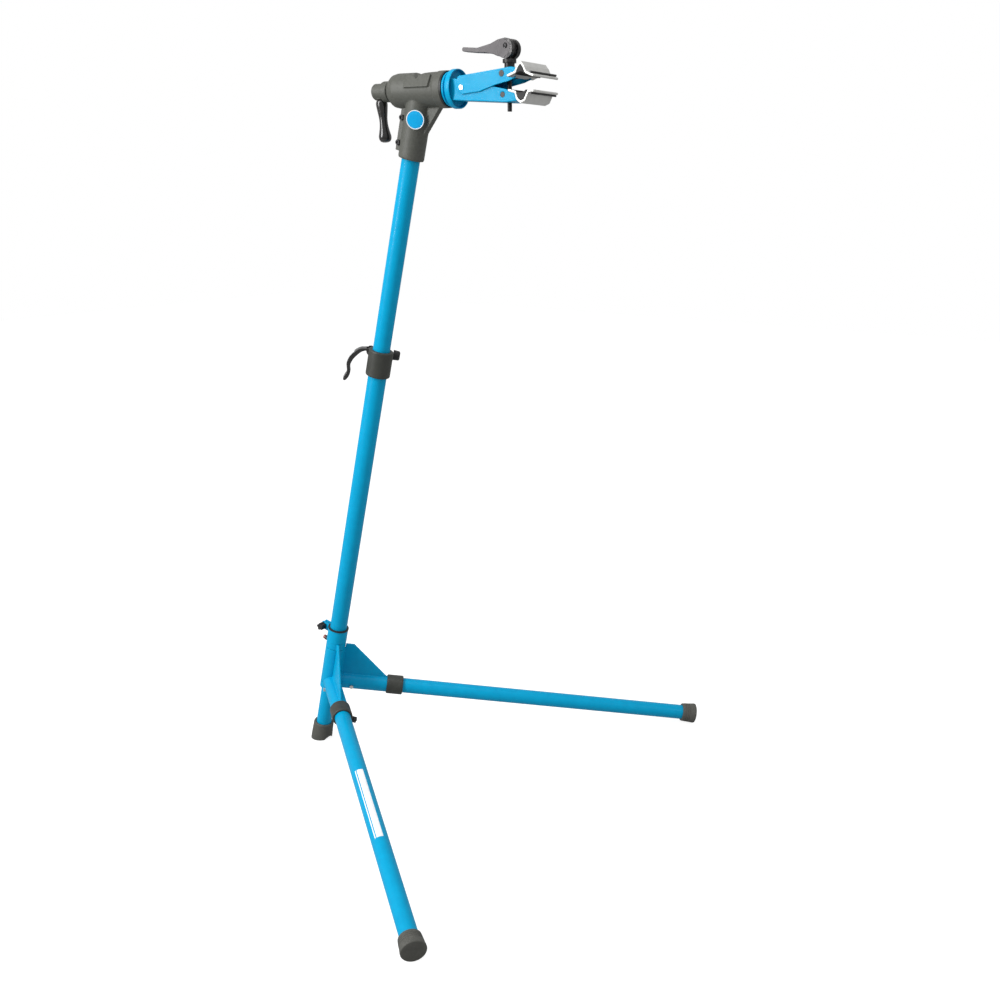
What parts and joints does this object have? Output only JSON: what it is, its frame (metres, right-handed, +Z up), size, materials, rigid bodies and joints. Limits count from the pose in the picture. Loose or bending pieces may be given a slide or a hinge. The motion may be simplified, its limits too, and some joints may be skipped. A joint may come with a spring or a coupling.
{
  "type": "bike repair stand",
  "caption": "Folding bicycle repair stand: leaning telescoping mast on two splayed legs and a rear foot, with a rotating head and cam-action jaw clamp.",
  "frame": {"origin": "on the floor, under the middle of the stand's box, with the mast's lean in the XZ plane", "axes": "+X the way the clamp arm points, +Y left, +Z up"},
  "size_m": [0.7662, 1.1556, 1.4937],
  "materials": {
    "blue_paint": "gloss bright blue powder coat",
    "grey_casting": "satin warm dark grey, fine cast texture",
    "grey_plastic": "moulded warm dark grey",
    "boot_rubber": "dull dark grey rubber",
    "black_plastic": "moulded black",
    "handle_black": "glossy black",
    "black_steel": "black oxide",
    "bright_steel": "bright zinc",
    "jaw_metal": "satin silver",
    "pad_rubber": "black rubber",
    "cam_alloy": "satin grey metal",
    "badge_blue": "plain bright blue disc",
    "pin_red": "dark red cap"
  },
  "bodies": {
    "base": {"base_tube": "blue_paint", "foot_tube": "blue_paint", "foot_bushing": "black_plastic", "top_bushing": "black_plastic", "foot_screw": "black_steel", "foot_boot": "boot_rubber", "fixed_leg_bracket": "blue_paint", "sleeve_clamp": "blue_paint", "sleeve_clamp_screw": "bright_steel", "far_leg_collar": "grey_plastic", "far_socket_bolt": "bright_steel"},
    "swing_mount": {"swing_leg_bracket": "blue_paint", "pull_pin_boss": "black_steel", "near_leg_collar": "grey_plastic", "near_socket_bolt": "bright_steel"},
    "near_leg": {"near_leg_tube": "blue_paint", "near_leg_boot": "boot_rubber"},
    "far_leg": {"far_leg_tube": "blue_paint", "far_leg_boot": "boot_rubber"},
    "pull_pin": {"pull_pin": "pin_red"},
    "near_knob": {"near_collar_knob": "black_plastic"},
    "far_knob": {"far_collar_knob": "black_plastic"},
    "sleeve_knob": {"sleeve_knob": "black_plastic"},
    "lower_mast": {"lower_mast": "blue_paint", "height_collar": "grey_plastic", "height_skewer": "bright_steel", "height_spacer": "bright_steel", "height_nut": "black_plastic", "height_washers": "black_plastic", "height_skewer_eye": "bright_steel", "height_lever_pin": "bright_steel"},
    "height_lever": {"height_lever": "handle_black"},
    "upper_mast": {"upper_mast": "blue_paint", "mast_plug": "black_plastic", "head_casting": "grey_casting", "head_pinch_bolts": "black_steel", "head_badge": "badge_blue", "rear_bushing": "black_plastic", "front_bushing": "black_plastic"},
    "lock_handle": {"handle_hub": "grey_casting", "handle_grip": "handle_black"},
    "clamp": {"clamp_shaft": "bright_steel", "swivel_flange": "blue_paint", "lower_arm": "blue_paint", "jaw_pivot_pin": "bright_steel", "pivot_snap_rings": "bright_steel", "lower_jaw": "jaw_metal", "lower_pad": "pad_rubber", "lower_pad_wire": "black_steel"},
    "upper_jaw": {"upper_arm": "blue_paint", "upper_trunnions": "black_steel", "upper_jaw": "jaw_metal", "upper_pad": "pad_rubber", "upper_pad_wire": "black_steel"},
    "rod_trunnion": {"trunnion_nut": "black_steel"},
    "clamp_rod": {"clamp_rod": "black_steel", "cam_pin": "bright_steel", "cam_saddle": "black_steel"},
    "cam_lever": {"cam_lever": "cam_alloy", "cam_wear_faces": "black_steel"}
  },
  "joints": [
    {"name": "swing_leg", "type": "hinge", "parent": "base", "child": "swing_mount", "pos_m": [-0.31783, 0, 0.16302], "axis": [0.2495, 0, 0.9684], "range_deg": [-100, 0]},
    {"name": "pin_pull", "type": "slide", "parent": "swing_mount", "child": "pull_pin", "axis": [-0.9684, 0, 0.2495], "range_m": [0, 0.006], "stiffness_N_per_m": 600, "springref_m": -0.004},
    {"name": "near_leg_slide", "type": "slide", "parent": "swing_mount", "child": "near_leg", "axis": [0.7655, -0.6243, -0.1556], "range_m": [0, 0.08]},
    {"name": "far_leg_slide", "type": "slide", "parent": "base", "child": "far_leg", "axis": [0.7655, 0.6243, -0.1556], "range_m": [0, 0.08]},
    {"name": "near_knob_turn", "type": "hinge", "parent": "swing_mount", "child": "near_knob", "pos_m": [-0.18262, -0.08208, 0.12605], "axis": [0.4937, 0.725, -0.4801], "continuous": true},
    {"name": "far_knob_turn", "type": "hinge", "parent": "base", "child": "far_knob", "pos_m": [-0.21105, 0.11876, 0.13338], "axis": [-0.6434, 0.7423, -0.1871], "continuous": true},
    {"name": "sleeve_knob_turn", "type": "hinge", "parent": "base", "child": "sleeve_knob", "pos_m": [-0.32097, -0.015, 0.29911], "axis": [0, -1, 0], "continuous": true},
    {"name": "mast_lift", "type": "slide", "parent": "base", "child": "lower_mast", "axis": [0.2495, 0, 0.9684], "range_m": [0, 0.1]},
    {"name": "height_lever_swing", "type": "hinge", "parent": "lower_mast", "child": "height_lever", "pos_m": [-0.15739, 0.01307, 0.93336], "axis": [-0.5962, 0.788, 0.1536], "range_deg": [0, 95]},
    {"name": "height_slide", "type": "slide", "parent": "lower_mast", "child": "upper_mast", "axis": [0.2495, 0, 0.9684], "range_m": [-0.36, 0.03]},
    {"name": "handle_turn", "type": "hinge", "parent": "upper_mast", "child": "lock_handle", "pos_m": [-0.09068, 0, 1.41706], "axis": [1, 0, 0], "continuous": true},
    {"name": "clamp_spin", "type": "hinge", "parent": "upper_mast", "child": "clamp", "pos_m": [0.00532, 0, 1.41706], "axis": [1, 0, 0], "continuous": true},
    {"name": "jaw_swing", "type": "hinge", "parent": "clamp", "child": "upper_jaw", "pos_m": [0.11332, 0, 1.41706], "axis": [0, -1, 0], "range_deg": [-5, 20]},
    {"name": "rod_tilt", "type": "hinge", "parent": "clamp", "child": "rod_trunnion", "pos_m": [0.19982, 0, 1.40306], "axis": [0, -1, 0], "range_deg": [-4, 13]},
    {"name": "rod_slide", "type": "slide", "parent": "rod_trunnion", "child": "clamp_rod", "axis": [0, 0, 1], "range_m": [-0.01, 0.034]},
    {"name": "cam_swing", "type": "hinge", "parent": "clamp_rod", "child": "cam_lever", "pos_m": [0.20032, 0, 1.48106], "axis": [0, 1, 0], "range_deg": [0, 110]}
  ],
  "couplings": [
    {"joint": "rod_tilt", "follows": "jaw_swing", "ratio": 0.555},
    {"joint": "rod_slide", "follows": "jaw_swing", "m_per_rad": 0.085}
  ]
}
